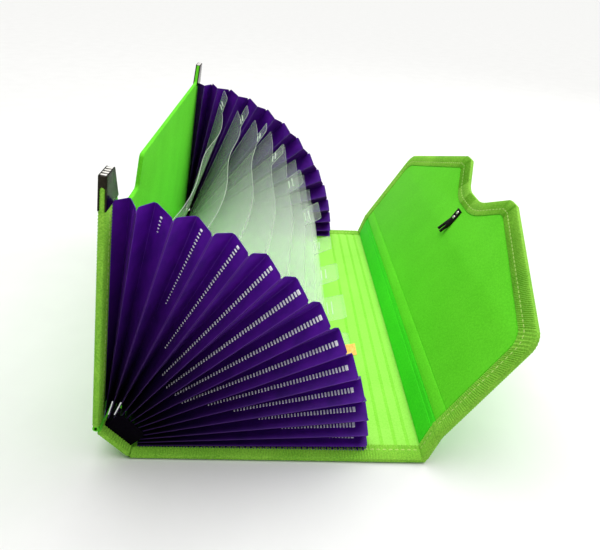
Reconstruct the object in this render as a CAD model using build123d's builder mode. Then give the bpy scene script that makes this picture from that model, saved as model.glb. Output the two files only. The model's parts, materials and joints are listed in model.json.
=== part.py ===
"""Expanding file: pleated pockets fan open between a back and a front cover, closed by a folding flap.

Frame: millimetres, +Z up. The origin is the centre of the back cover's underside, X runs from the spine
towards the flap, and Y runs along the width.
"""

import os
from cmath import rect
from math import cos, radians, sin

from build123d import *

os.makedirs("parts", exist_ok=True)

# Cover boards, with a rounded edge tape along each side
file_width = 260.0
base_length = 134.0
spine_length = 21.0
strip_length = 16.0
board_t = 2.0
tape_t = 0.5
tape_width = 9.0
crease_play = 0.35
tape_play = 0.3
spine_head_play = 1.0

# Angles of the panels above the table in the photographed pose, degrees
front_angle = 82.0
spine_angle = 131.0
strip_angle = 71.0
flap_angle = 58.5
shut_spine_angle = 90.0

# Front cover outline: a tall post at each corner, a low step beside the near one, and a raised edge beyond
step_height = 92.0
step_slope = 6.0
post_rise = 25.0
post_top_width = 10.5
post_foot_rise = 8.0
post_foot_width = 20.0
raised_rise = 14.0
raised_inset = 63.5
front_round = 3.0

# Folded metal corners over the posts
corner_t = 0.5
corner_drop = 13.0
corner_play = 0.5

# Flap outline: straight sides, diagonals to two shoulders, and a round notch between them
flap_side = 62.0
flap_reach = 92.5
shoulder_width = 88.0
notch_width = 72.0
notch_floor_width = 24.0
notch_depth = 13.5
side_round = 9.0
shoulder_round = 5.0
notch_round = 25.0

# Clasp: a forked tongue riveted to the flap, and the keeper that it slides into on the front cover
tongue_margin = 2.5
tongue_length = 17.0
tongue_foot = 8.0
tongue_lift = 2.4
tongue_width = 6.5
tongue_t = 0.9
fork_depth = 5.0
fork_width = 2.2
rivet_d = 1.2
rivet_head_d = 2.2
rivet_head_t = 0.6
rivet_spacing = 3.4
rivet_inset = 2.2
rivet_play = 0.05
keeper_length = 6.0
keeper_wall = 1.2
keeper_play = 0.4

# Pockets: dividers fan out about one line, and pleats join them at both ends
pocket_count = 13
front_pocket_angle = 9.6
fan_bias = 1.8
fan_ease = 0.62
divider_t = 0.4
divider_foot = 3.2
divider_height = 90.5
divider_inset = 15.6
sheet_sag = 0.55
sag_power = 3
sag_points = 9
tab_height = 11.0
tab_width = 23.0
tab_round = 3.0
tab_overlap = 4.0
label_level = 3
label_length = 7.0
label_width = 10.0
label_t = 0.3
label_inset = 1.5

# Pleats: zigzag between an outer and an inner fold, measured in from the cover's edge
fold_outer = 5.0
fold_inner = 15.0
pleat_t = 0.3
pleat_play = 0.25
pleat_foot = 6.0
pleat_top = 105.5
pleat_rows = 6
pleat_landing = 12.0
front_pleat_foot = 28.0
front_landing = 9.6
outer_fold_share = 0.75
inner_fold_share = 0.25
top_fold_share = 0.5
front_fold_share = 0.27

half_width = file_width / 2
board_half = half_width - tape_t
half_t = board_t / 2
board_start = half_t + crease_play
tape_start = half_t + tape_t + tape_play
post_height = step_height + post_rise
post_foot_height = step_height + post_foot_rise
raised_height = step_height + raised_rise
post_slant = (post_foot_width - post_top_width) / (post_rise - post_foot_rise)
far_post_width = post_top_width + post_slant * (post_rise - raised_rise)
divider_count = pocket_count - 1
pocket_pitch = (spine_length - board_t) / pocket_count
tape_inner = half_width - tape_width
fold_span = fold_inner - fold_outer
fold_room = (pleat_t + pleat_play) / 2
notch_hem = flap_reach - notch_depth - (tape_width - tape_t)
tongue_root = notch_hem - tongue_margin


def panel_plane(x, z, angle):
    """A panel's middle plane: local x runs up the panel, local y is Y, local z is its upper side."""
    turn = radians(angle)
    return Plane(origin=(x, 0, z), x_dir=(cos(turn), 0, sin(turn)), z_dir=(-sin(turn), 0, cos(turn)))


def cross_plane(plane, reach):
    """The plane across a panel at a distance along it: local x is Y and local y is the panel's upper side."""
    return Plane(origin=plane.from_local_coords((reach, 0, 0)), x_dir=(0, 1, 0), z_dir=plane.x_dir)


# The fan's line: the one turn about it that brings the open front cover down onto the shut spine
spine_crease = complex(-base_length / 2, half_t)
open_head = rect(spine_length, radians(spine_angle))
shut_head = rect(spine_length, radians(shut_spine_angle))
shutting_turn = rect(1, -radians(front_angle))
fan_line = (shut_head - shutting_turn * open_head) / (1 - shutting_turn)


def level_angle(level):
    """Opening angle of a level of the stack, from the back cover at 0 to the front cover at pocket_count."""
    if level == pocket_count:
        return front_angle
    share = level / divider_count
    return (front_angle - front_pocket_angle) * share**fan_bias * (1 + fan_ease * (1 - share))


def level_plane(level):
    """A level's plane, with local x measured from the line of the spine crease."""
    turn = rect(1, radians(level_angle(level)))
    height = half_t + level * pocket_pitch
    foot = spine_crease + fan_line + turn * complex(-fan_line.real, height - fan_line.imag)
    return panel_plane(foot.real, foot.imag, level_angle(level))


def pocket_gap(level, reach):
    """How far apart the level and the next one stand at a distance from the spine."""
    opening = radians(level_angle(level + 1) - level_angle(level))
    return pocket_pitch + (reach - fan_line.real) * opening


def save(piece, name):
    piece.part.label = name
    export_step(piece.part, f"parts/{name}.step")


base_plane = panel_plane(spine_crease.real, spine_crease.imag, 0)
spine_plane = panel_plane(spine_crease.real, spine_crease.imag, spine_angle)
front_plane = level_plane(pocket_count).offset(half_t)
strip_plane = panel_plane(base_length / 2, half_t, strip_angle)
flap_crease = strip_plane.from_local_coords((strip_length, 0, 0))
flap_plane = panel_plane(flap_crease.X, flap_crease.Z, flap_angle)

print("fan line, mm:", round((spine_crease + fan_line).real, 4), round((spine_crease + fan_line).imag, 4))
print("flap crease, mm:", round(flap_crease.X, 4), round(flap_crease.Z, 4))


# Back cover board, rounded along both creases and rebated below for the edge tape
with BuildPart() as back_cover_board:
    with BuildSketch(base_plane.offset(-half_t)):
        with Locations((base_length / 2, 0)):
            Rectangle(base_length, 2 * board_half)
    extrude(amount=board_t)
    with BuildSketch(Plane.XZ):
        with Locations((-base_length / 2, half_t), (base_length / 2, half_t)):
            Circle(half_t)
    extrude(amount=board_half, both=True)
    with BuildSketch(Plane.XY):
        with Locations((0, (tape_inner + board_half) / 2), (0, -(tape_inner + board_half) / 2)):
            Rectangle(base_length + board_t, board_half - tape_inner)
    extrude(amount=tape_t, mode=Mode.SUBTRACT)
save(back_cover_board, "back_cover_board")

# Its edge tape lies flush below, so that the cover rests flat
with BuildPart() as back_cover_tape:
    with BuildSketch(cross_plane(base_plane, tape_start)):
        with BuildLine():
            Polyline(
                (tape_inner, -half_t),
                (half_width, -half_t),
                (half_width, half_t + tape_t),
                (tape_inner, half_t + tape_t),
                (tape_inner, half_t),
                (board_half, half_t),
                (board_half, -half_t + tape_t),
                (tape_inner, -half_t + tape_t),
                close=True,
            )
        make_face()
    extrude(amount=base_length - 2 * tape_start)
    mirror(about=Plane.XZ)
save(back_cover_tape, "back_cover_tape")


def edge_tapes(plane, start, end):
    """A pair of tapes folded over a panel's two side edges."""
    with BuildPart() as tapes:
        with BuildSketch(cross_plane(plane, start)):
            with Locations(((tape_inner + half_width) / 2, 0)):
                Rectangle(tape_width, board_t + 2 * tape_t)
            with Locations(((tape_inner + board_half) / 2, 0)):
                Rectangle(board_half - tape_inner, board_t, mode=Mode.SUBTRACT)
        extrude(amount=end - start)
        mirror(about=Plane.XZ)
    return tapes


# Spine board and tapes
spine_end = spine_length - half_t - spine_head_play
with BuildPart() as spine_board:
    with BuildSketch(spine_plane.offset(-half_t)):
        with Locations(((board_start + spine_end) / 2, 0)):
            Rectangle(spine_end - board_start, 2 * board_half)
    extrude(amount=board_t)
save(spine_board, "spine_board")
save(edge_tapes(spine_plane, tape_start, spine_end), "spine_tape")

# Front cover board, rounded along the spine's head
with BuildPart() as front_cover_board:
    with BuildSketch(front_plane.offset(-half_t)) as front_outline:
        with BuildLine():
            Polyline(
                (0, -board_half),
                (post_height, -board_half),
                (post_height, post_top_width - board_half),
                (post_foot_height, post_foot_width - board_half),
                (step_height, post_foot_width - board_half),
                (step_height, raised_inset - step_slope - board_half),
                (raised_height, raised_inset - board_half),
                (raised_height, board_half - far_post_width),
                (post_height, board_half - post_top_width),
                (post_height, board_half),
                (0, board_half),
                close=True,
            )
        make_face()
        high_corners = front_outline.vertices().group_by(Axis.X)[1:]
        fillet([corner for row in high_corners[:-1] for corner in row], front_round)
    extrude(amount=board_t)
    with BuildSketch(Plane.XZ):
        with Locations((front_plane.origin.X, front_plane.origin.Z)):
            Circle(half_t)
    extrude(amount=board_half, both=True)
save(front_cover_board, "front_cover_board")

corner_foot = post_height - corner_drop
save(edge_tapes(front_plane, tape_start, corner_foot - corner_play), "front_cover_tape")

corner_foot_width = post_top_width + post_slant * corner_drop

# Metal corners, folded over both faces, the top and the outer edge of each post
for side, place in ((-1, "near"), (1, "far")):
    with BuildPart() as metal_corner:
        with BuildSketch(front_plane.offset(-half_t - corner_t)):
            with BuildLine():
                Polyline(
                    (corner_foot, side * (board_half + corner_t)),
                    (post_height + corner_t, side * (board_half + corner_t)),
                    (post_height + corner_t, side * (board_half - post_top_width)),
                    (post_height, side * (board_half - post_top_width)),
                    (corner_foot, side * (board_half - corner_foot_width)),
                    close=True,
                )
            make_face()
        extrude(amount=board_t + 2 * corner_t)
        with BuildSketch(front_plane.offset(-half_t)):
            with Locations((post_height - corner_drop, 0)):
                Rectangle(2 * corner_drop, 2 * board_half)
        extrude(amount=board_t, mode=Mode.SUBTRACT)
    save(metal_corner, f"metal_corner_{place}")

# Strip between the back cover and the flap, rounded along the flap's crease
with BuildPart() as flap_strip_board:
    with BuildSketch(strip_plane.offset(-half_t)):
        with Locations(((board_start + strip_length) / 2, 0)):
            Rectangle(strip_length - board_start, 2 * board_half)
    extrude(amount=board_t)
    with BuildSketch(Plane.XZ):
        with Locations((flap_crease.X, flap_crease.Z)):
            Circle(half_t)
    extrude(amount=board_half, both=True)
save(flap_strip_board, "flap_strip_board")
save(edge_tapes(strip_plane, tape_start, strip_length - tape_start), "flap_strip_tape")


def flap_sketch(plane, grow, start):
    """The flap's outline, offset by grow, with rounded corners and cut off at start near its crease."""
    below = -flap_side
    with BuildSketch(plane) as outline:
        with BuildLine():
            Polyline(
                (below, -board_half),
                (flap_side, -board_half),
                (flap_reach, -shoulder_width / 2),
                (flap_reach, -notch_width / 2),
                (flap_reach - notch_depth, -notch_floor_width / 2),
                (flap_reach - notch_depth, notch_floor_width / 2),
                (flap_reach, notch_width / 2),
                (flap_reach, shoulder_width / 2),
                (flap_side, board_half),
                (below, board_half),
                close=True,
            )
        make_face()
        if grow:
            offset(amount=grow, kind=Kind.INTERSECTION)
        for row, corner_round in ((-1, shoulder_round), (2, notch_round - grow), (1, side_round)):
            fillet(outline.vertices().group_by(Axis.X)[row], corner_round)
        with Locations((start + flap_reach, 0)):
            Rectangle(2 * flap_reach, 2 * file_width, mode=Mode.INTERSECT)
    return outline


# Flap board, drilled for the clasp's rivets
rivet_places = [(tongue_root - rivet_inset, 0), (tongue_root - rivet_inset - rivet_spacing, 0)]
with BuildPart() as flap_board:
    extrude(flap_sketch(flap_plane.offset(-half_t), 0, board_start).sketch, board_t, flap_plane.z_dir)
    with BuildSketch(flap_plane.offset(-half_t)):
        with Locations(*rivet_places):
            Circle(rivet_d / 2 + rivet_play)
    extrude(amount=board_t, mode=Mode.SUBTRACT)
save(flap_board, "flap_board")

# Flap tape, folded over every edge but the crease
with BuildPart() as flap_tape:
    tape_face = flap_plane.offset(-half_t - tape_t)
    whole = flap_sketch(tape_face, tape_t, tape_start).sketch
    middle = flap_sketch(tape_face, tape_t - tape_width, 0).sketch
    board = flap_sketch(flap_plane.offset(-half_t), 0, 0).sketch
    extrude(whole, board_t + 2 * tape_t, flap_plane.z_dir)
    extrude(middle, board_t + 2 * tape_t, flap_plane.z_dir, mode=Mode.SUBTRACT)
    extrude(board, board_t, flap_plane.z_dir, mode=Mode.SUBTRACT)
save(flap_tape, "flap_tape")

# Clasp tongue on the flap's inner face: a flat foot, then a springy rise to a forked tip
tongue_face = flap_plane.offset(half_t)
tongue_tip = tongue_root - tongue_length
with BuildPart() as clasp_tongue:
    with BuildSketch(Plane(origin=tongue_face.origin, x_dir=tongue_face.x_dir, z_dir=(0, -1, 0))):
        with BuildLine():
            Polyline(
                (tongue_root, 0),
                (tongue_root, tongue_t),
                (tongue_root - tongue_foot, tongue_t),
                (tongue_tip, tongue_lift + tongue_t),
                (tongue_tip, tongue_lift),
                (tongue_root - tongue_foot, 0),
                close=True,
            )
        make_face()
    extrude(amount=tongue_width / 2, both=True)
    with BuildSketch(tongue_face):
        with Locations((tongue_tip, 0)):
            Rectangle(2 * fork_depth, fork_width)
        with Locations(*rivet_places):
            Circle(rivet_d / 2 + rivet_play)
    extrude(amount=tongue_lift + 2 * tongue_t, mode=Mode.SUBTRACT)
save(clasp_tongue, "clasp_tongue")

# Rivets, headed on the tongue and on the flap's outer face
with BuildPart() as clasp_rivets:
    with BuildSketch(tongue_face.offset(tongue_t)):
        with Locations(*rivet_places):
            Circle(rivet_head_d / 2)
    extrude(amount=rivet_head_t)
    with BuildSketch(flap_plane.offset(-half_t)):
        with Locations(*rivet_places):
            Circle(rivet_d / 2)
    extrude(amount=board_t + tongue_t)
    with BuildSketch(flap_plane.offset(-half_t - rivet_head_t)):
        with Locations(*rivet_places):
            Circle(rivet_head_d / 2)
    extrude(amount=rivet_head_t)
save(clasp_rivets, "clasp_rivets")

# Keeper on the front cover's outer face, where the tongue arrives when the flap is folded over
keeper_reach = base_length - tongue_tip - keeper_length
keeper_slot_width = tongue_width + 2 * keeper_play
keeper_slot_height = tongue_t + 2 * keeper_play
with BuildPart() as clasp_keeper:
    with BuildSketch(cross_plane(front_plane.offset(half_t), keeper_reach)):
        with Locations((0, (keeper_slot_height + 2 * keeper_wall) / 2)):
            Rectangle(keeper_slot_width + 2 * keeper_wall, keeper_slot_height + 2 * keeper_wall)
            Rectangle(keeper_slot_width, keeper_slot_height, mode=Mode.SUBTRACT)
    extrude(amount=keeper_length)
save(clasp_keeper, "clasp_keeper")

# Dividers, each with an index tab one step further along the width
divider_width = file_width - 2 * divider_inset
tab_step = divider_width / divider_count
divider_top = divider_foot + divider_height


def tab_centre(level):
    """Where a divider's tab stands along the width: the top divider's is at the far end."""
    return (level - (divider_count + 1) / 2) * tab_step


def tab_place(level):
    """The tab's place, kept within the sheet."""
    limit = (divider_width - tab_width) / 2
    return min(max(tab_centre(level), -limit), limit)


def sag_line(level, reach, lift):
    """Points across a sheet that hangs free between its two held ends, further from the spine the lower."""
    share = (reach - divider_foot) / divider_height
    rows = [2 * point / (sag_points - 1) - 1 for point in range(sag_points)]
    drop = sheet_sag * level * share
    return [(row * divider_width / 2, lift - drop * (1 - abs(row) ** sag_power)) for row in rows]


def sagged_sheet(level, low, high):
    """The layer between two heights over a level's sheet, from its foot to past the end of its tab."""
    with BuildPart() as layer:
        for reach in (divider_foot, divider_top + tab_height + tab_overlap):
            with BuildSketch(cross_plane(level_plane(level), reach)):
                with BuildLine():
                    under = Spline(*sag_line(level, reach, low))
                    over = Spline(*sag_line(level, reach, high))
                    Line(under @ 0, over @ 0)
                    Line(under @ 1, over @ 1)
                make_face()
        loft(ruled=True)
    return layer


sag_room = sheet_sag * pocket_count * 2
for level in range(1, pocket_count):
    with BuildPart() as divider:
        add(sagged_sheet(level, -divider_t / 2, divider_t / 2).part)
        with BuildSketch(level_plane(level)) as sheet:
            with Locations((divider_top / 2, 0)):
                Rectangle(divider_top, file_width)
            with Locations((divider_top + (tab_height - tab_overlap) / 2, tab_place(level))):
                Rectangle(tab_height + tab_overlap, tab_width)
            fillet(sheet.vertices().sort_by(Axis.X)[-2:], tab_round)
        extrude(amount=sag_room, both=True, mode=Mode.INTERSECT)
    save(divider, f"divider_{level:02d}")

# Label slip on one tab, bent as its sheet is
with BuildPart() as index_label:
    add(sagged_sheet(label_level, divider_t / 2, divider_t / 2 + label_t).part)
    with BuildSketch(level_plane(label_level)):
        with Locations(
            (
                divider_top + tab_height - label_inset - label_length / 2,
                tab_place(label_level) - tab_width / 2 + label_inset + label_width / 2,
            )
        ):
            Rectangle(label_length, label_width)
    extrude(amount=sag_room, both=True, mode=Mode.INTERSECT)
save(index_label, "index_label")


def pleat_reaches(foot, top):
    """Where a pleat's sections stand along the fan, close enough for its twisted faces."""
    return [foot + (top - foot) * row / pleat_rows for row in range(pleat_rows + 1)]


def pleat_section(level, reach, below):
    """One pleat's corners across the fan: its lower arm, inner fold and upper arm, near side first."""
    above = pocket_gap(level, reach)
    outer_y = fold_outer - half_width
    fold = inner_fold_share * above
    high_share = top_fold_share if level == divider_count else outer_fold_share
    high_slope = (high_share - inner_fold_share) * above / fold_span
    high_short = fold_room / high_slope
    if below:
        gap = pocket_gap(level - 1, reach)
        low_slope = (fold + (1 - outer_fold_share) * gap) / fold_span
        low_short = fold_room / low_slope
    else:
        low_short = pleat_landing - fold_outer
        low_slope = (fold - pleat_t) / (fold_span - low_short)
    low_y = outer_y + low_short
    high_y = outer_y + high_short
    return folded_section(fold, low_y, low_slope, high_y, high_slope)


def folded_section(fold, low_y, low_slope, high_y, high_slope):
    """Corners of a folded sheet: from low_y in to the inner fold, and back out to high_y."""
    inner_y = fold_inner - half_width
    low = fold - low_slope * (inner_y - low_y)
    high = fold + high_slope * (inner_y - high_y)
    crotch = pleat_t / (low_slope + high_slope)
    half = pleat_t / 2
    return [
        (low_y, low - half),
        (inner_y, fold - half),
        (inner_y, fold + half),
        (high_y, high + half),
        (high_y, high - half),
        (inner_y - crotch, fold + high_slope * crotch - half),
        (low_y, low + half),
    ]


# Pleats: each rides on its level, between the outer folds below and above it
for level in range(pocket_count):
    with BuildPart() as pleat:
        for reach in pleat_reaches(pleat_foot, pleat_top):
            with BuildSketch(cross_plane(level_plane(level), reach)):
                with BuildLine():
                    Polyline(*pleat_section(level, reach, level > 0), close=True)
                make_face()
        loft(ruled=True)
        mirror(about=Plane.XZ)
    save(pleat, f"pleat_{level:02d}")


def front_pleat_section(reach):
    """The last fold's corners, from the top outer fold to its landing on the front cover."""
    gap = pocket_gap(divider_count, reach)
    fold = -front_fold_share * gap
    low_slope = (1 - top_fold_share - front_fold_share) * gap / fold_span
    low_y = fold_outer + fold_room / low_slope - half_width
    high_slope = (-pleat_t - fold) / (fold_inner - front_landing)
    return folded_section(fold, low_y, low_slope, front_landing - half_width, high_slope)


# Last fold of the pleats, on the front cover
with BuildPart() as front_pleat:
    for reach in pleat_reaches(front_pleat_foot, corner_foot - corner_play):
        with BuildSketch(cross_plane(level_plane(pocket_count), reach)):
            with BuildLine():
                Polyline(*front_pleat_section(reach), close=True)
            make_face()
    loft(ruled=True)
    mirror(about=Plane.XZ)
save(front_pleat, f"pleat_{pocket_count:02d}")
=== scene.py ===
# %% [markdown]
# # An expanding file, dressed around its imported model
# The real object is a document file: stiff cloth-covered boards, a fan of pleated pockets between them,
# and a flap that folds over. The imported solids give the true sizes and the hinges. Here each of them gets
# its soft edges, folds, threads and finish, in the same frame and in metres.

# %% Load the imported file
import json
from cmath import phase, rect
from math import cos, exp, hypot, pi, radians, sin, tan

import bmesh
import bpy
from bmesh.types import BMEdge, BMFace, BMVert
from mathutils import Matrix, Vector


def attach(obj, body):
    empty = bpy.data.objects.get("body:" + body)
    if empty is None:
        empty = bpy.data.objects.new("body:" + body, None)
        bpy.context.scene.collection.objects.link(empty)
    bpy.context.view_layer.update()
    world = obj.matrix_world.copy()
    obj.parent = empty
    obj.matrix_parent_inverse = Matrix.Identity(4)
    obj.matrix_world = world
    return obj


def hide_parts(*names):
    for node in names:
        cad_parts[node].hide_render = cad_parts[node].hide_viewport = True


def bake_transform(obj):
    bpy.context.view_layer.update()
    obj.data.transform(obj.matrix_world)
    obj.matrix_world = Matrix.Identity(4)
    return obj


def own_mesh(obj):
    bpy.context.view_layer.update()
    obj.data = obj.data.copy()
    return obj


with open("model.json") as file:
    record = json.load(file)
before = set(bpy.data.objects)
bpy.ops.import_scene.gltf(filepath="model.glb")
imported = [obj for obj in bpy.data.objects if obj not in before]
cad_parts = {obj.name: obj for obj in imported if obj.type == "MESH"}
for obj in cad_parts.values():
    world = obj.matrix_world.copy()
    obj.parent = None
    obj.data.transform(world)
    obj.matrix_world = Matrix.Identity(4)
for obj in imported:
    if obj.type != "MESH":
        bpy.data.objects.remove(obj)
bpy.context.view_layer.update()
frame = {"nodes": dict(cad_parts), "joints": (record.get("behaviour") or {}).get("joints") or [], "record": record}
scene = bpy.context.scene
nodes = frame["nodes"]

# %% [markdown]
# ## Panels and levels
# Every panel is modelled flat, in millimetres: first along the panel, then along the width, then off its
# upper side. One matrix per panel stands it up in the frame. The pockets fan about one line, so a level's
# matrix is a turn about that line, by the share of the front cover's fold that the joints give it.

# %% Sizes and joints
MM = 0.001
half_width = 130.0
board_half = 129.5
half_t = 1.0
base_length = 134.0
spine_length = 21.0
strip_length = 16.0
front_angle, spine_angle, strip_angle, flap_angle = 82.0, 131.0, 71.0, 58.5
pocket_count = 13
divider_count = pocket_count - 1
pocket_pitch = (spine_length - 2 * half_t) / pocket_count

joint_place = {joint["name"]: Vector(joint["pos_m"]) / MM for joint in frame["joints"]}
fan_line, spine_crease, strip_crease, flap_crease = (
    joint_place[f"{name}_fold"] for name in ("front", "spine", "strip", "flap"))
fan_reach = spine_crease.x - fan_line.x
fan_height = fan_line.z - spine_crease.z

level_angle = {0: 0.0, pocket_count: front_angle}
for coupling in frame["record"]["behaviour"]["couplings"]:
    if coupling["joint"].startswith("divider_"):
        level_angle[int(coupling["joint"].split("_")[1])] = coupling["ratio"] * front_angle
print("level angles:", [round(level_angle[level], 1) for level in range(pocket_count + 1)])


# %% Panel matrices
def panel(crease, angle):
    """Stands a panel up from its crease line, at an angle above the table."""
    turn = Matrix.Rotation(-radians(angle), 4, "Y")
    return Matrix.Scale(MM, 4) @ Matrix.Translation(crease) @ turn


def level_panel(level):
    """A level of the fan, with the first coordinate measured from the line of the spine crease."""
    lift = half_t + level * pocket_pitch - fan_height
    return panel(fan_line, level_angle[level]) @ Matrix.Translation((fan_reach, 0, lift))


def pocket_gap(level, reach):
    """How far apart a level and the next one stand, at a distance from the spine."""
    return pocket_pitch + (reach + fan_reach) * radians(level_angle[level + 1] - level_angle[level])


base_panel = panel(spine_crease, 0)
spine_panel = panel(spine_crease, spine_angle)
front_panel = level_panel(pocket_count) @ Matrix.Translation((0, 0, half_t))
strip_panel = panel(strip_crease, strip_angle)
flap_panel = panel(flap_crease, flap_angle)
print("flap crease:", [round(v, 1) for v in flap_crease], "mm")

# %% [markdown]
# ## Helpers for finishes
# Colours are written as they look on screen, so one function turns a hex value into the linear colour that
# the shader wants. Another adds a node with its settings, its values and its links in one line.

# %% Colour and node helpers
def colour(hex_value):
    """Linear RGBA of an sRGB hex colour."""
    parts = [int(hex_value[i:i + 2], 16) / 255 for i in (1, 3, 5)]
    return [c / 12.92 if c <= 0.04045 else ((c + 0.055) / 1.055) ** 2.4 for c in parts] + [1.0]


def grey(value):
    """A share from 0 to 1, as a colour for a ramp."""
    return value, value, value, 1.0


def add(tree, kind, inputs, **settings):
    """Adds a node: settings are its properties, inputs its socket values or links, by name or place."""
    made = tree.nodes.new(kind)
    for name, value in settings.items():
        setattr(made, name, value)
    for place, value in inputs.items():
        if isinstance(value, bpy.types.NodeSocket):
            tree.links.new(value, made.inputs[place])
        else:
            made.inputs[place].default_value = value
    return made


def noise(tree, place, size_mm, detail):
    """A noise whose blots are about this size, in millimetres."""
    inputs = {"Vector": place, "Scale": 1 / (size_mm * MM), "Detail": detail}
    return add(tree, "ShaderNodeTexNoise", inputs).outputs["Fac"]


def blend_stops(tree, share, low, high, first, last):
    """A two-colour ramp: its stops and the linear colours there."""
    ramp = add(tree, "ShaderNodeValToRGB", {"Fac": share})
    start, end = ramp.color_ramp.elements
    start.position, end.position = low, high
    start.color, end.color = first, last
    return ramp.outputs["Color"]


def mix_numbers(tree, share, first, last):
    """Blends two numbers."""
    return add(tree, "ShaderNodeMix", {0: share, 2: first, 3: last}).outputs[0]


def mix_colours(tree, share, first, last):
    """Blends two colours."""
    return add(tree, "ShaderNodeMix", {0: share, 6: first, 7: last}, data_type="RGBA").outputs[2]


def new_finish(name, **values):
    """A material with one surface shader, and the object's own coordinates to draw on."""
    material = bpy.data.materials.new(name)
    material.use_nodes = True
    tree = material.node_tree
    shader = tree.nodes["Principled BSDF"]
    for socket, value in values.items():
        shader.inputs[socket.replace("_", " ")].default_value = value
    place = tree.nodes.new("ShaderNodeTexCoord").outputs["Object"]
    return material, tree, shader, place


def finish_surface(tree, shader, base, height, strength, depth_mm):
    """Links a colour, and a height as bump, into the surface shader."""
    bump = add(tree, "ShaderNodeBump", {"Height": height, "Strength": strength, "Distance": depth_mm * MM})
    tree.links.new(base, shader.inputs["Base Color"])
    tree.links.new(bump.outputs["Normal"], shader.inputs["Normal"])


# %% [markdown]
# ## Lime cloth and ribbed tape
# The covers are boards in a coated lime cloth with a fine felt-like grain. The edges are bound in a ribbed
# tape, sewn on with a lighter thread. The cloth's true grain is near 0.3 mm, too fine for the picture, so it
# is drawn at about 0.8 mm. The tape's ribs are modelled, and its finish adds the yarn. The strip between the
# creases has a darker copy of the cloth, as painted shade, and the base a brighter copy, as painted light;
# one side of each score groove is painted darker again, as shade.

# %% Cloth, tape and thread finishes
def cloth_finish(name, deep, light, grain_mm=0.8):
    """Coated non-woven cloth: a matte, faintly mottled grain with a soft sheen."""
    material, tree, shader, place = new_finish(name, Roughness=0.75, Specular_IOR_Level=0.12,
                                               Sheen_Weight=0.03, Sheen_Roughness=0.5)
    grain = noise(tree, place, grain_mm, 4.0)
    mottle = mix_numbers(tree, 0.3, grain, noise(tree, place, 22.0, 2.0))
    base = blend_stops(tree, mottle, 0.32, 0.68, colour(deep), colour(light))
    finish_surface(tree, shader, base, grain, 0.4, 0.25)
    return material


lime_cloth = cloth_finish("lime_coated_cloth", "#5ed41e", "#72e82e")
# The strip's deeper green is painted shade; it is the same cloth as the flap.
strip_shaded_cloth = cloth_finish("lime_cloth_in_painted_shade", "#30d016", "#4ae422")
# The base's brighter green is painted light; it is the same cloth as the covers.
base_lit_cloth = cloth_finish("lime_cloth_in_painted_light", "#94e04c", "#a8ee62")
# One side of each score groove in painted shade, darker than the base.
groove_shaded_cloth = cloth_finish("lime_cloth_groove_painted_shade", "#84d838", "#98e84c")
tape_yarn = cloth_finish("ribbed_lime_tape", "#66ae28", "#a0e04c", 0.6)
thread = cloth_finish("pale_lime_thread", "#a8d860", "#d8f090", 0.5)
print("cloth finishes:", [m.name for m in bpy.data.materials if "lime" in m.name])

# %% [markdown]
# ## Plastic, metal and card
# The pleats are extruded polypropylene sheet in purple: satin, with faint lines from the rollers and a pale
# line where it is folded, partly stress whitening and partly a painted highlight. Painted shade darkens it
# towards the spine, and the heels are painted nearly black as shade. The dividers are the same plastic
# without pigment, milky and see-through. The fittings are stamped steel with a dark bronze plating, smooth
# enough to mirror the cloth beside them. The rivets are bright nickel, and the clips' ribs are painted the
# same bright nickel as a highlight.

# %% Sheet, metal and card finishes
def purple_finish():
    """Pigmented polypropylene: satin, clouded, paler on a fold as stress whitening and painted highlight, with
    painted shade towards the spine.
    """
    material, tree, shader, place = new_finish("purple_polypropylene", Roughness=0.5, IOR=1.49,
                                               Specular_IOR_Level=0.22)
    sheet = add(tree, "ShaderNodeUVMap", {}, uv_map="sheet")
    across = add(tree, "ShaderNodeSeparateXYZ", {"Vector": sheet.outputs["UV"]})
    # Pale line along each fold: partly the sheet's stress whitening, partly a painted highlight.
    fold = blend_stops(tree, across.outputs["Y"], 0.0, 0.05, grey(0.4), grey(0.0))
    # Painted shade: the colour darkens to near black towards the spine.
    spine_shade = blend_stops(tree, across.outputs["X"], 0.1, 0.95, grey(0.0), grey(1.0))
    streaks = noise(tree, place, 6.0, 5.0)
    clouded = blend_stops(tree, streaks, 0.25, 0.8, colour("#420982"), colour("#5f0ea6"))
    deep = mix_colours(tree, spine_shade, colour("#07040f"), clouded)
    base = mix_colours(tree, fold, deep, colour("#8658c0"))
    finish_surface(tree, shader, base, noise(tree, place, 1.2, 2.0), 0.12, 0.1)
    return material


def milky_finish(name, alpha):
    """Natural polypropylene sheet: milky, half see-through, lit through from behind, with a soft gloss."""
    material, tree, shader, place = new_finish(name, Roughness=0.4, IOR=1.49, Alpha=alpha,
                                               Subsurface_Weight=0.8, Subsurface_Radius=(1, 1, 1),
                                               Subsurface_Scale=0.003)
    cloud = noise(tree, place, 14.0, 3.0)
    base = blend_stops(tree, cloud, 0.0, 1.0, colour("#f0fbf0"), colour("#ffffff"))
    finish_surface(tree, shader, base, noise(tree, place, 1.6, 2.0), 0.1, 0.1)
    return material


def grained_finish(name, deep, light, size_mm, bump_strength, **values):
    """A plain finish with fine mottling: plated metal, moulded plastic, card or the floor."""
    material, tree, shader, place = new_finish(name, **values)
    grain = noise(tree, place, size_mm, 5.0)
    base = blend_stops(tree, grain, 0.35, 0.7, colour(deep), colour(light))
    finish_surface(tree, shader, base, grain, bump_strength, 0.1)
    return material


purple_sheet = purple_finish()
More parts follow.
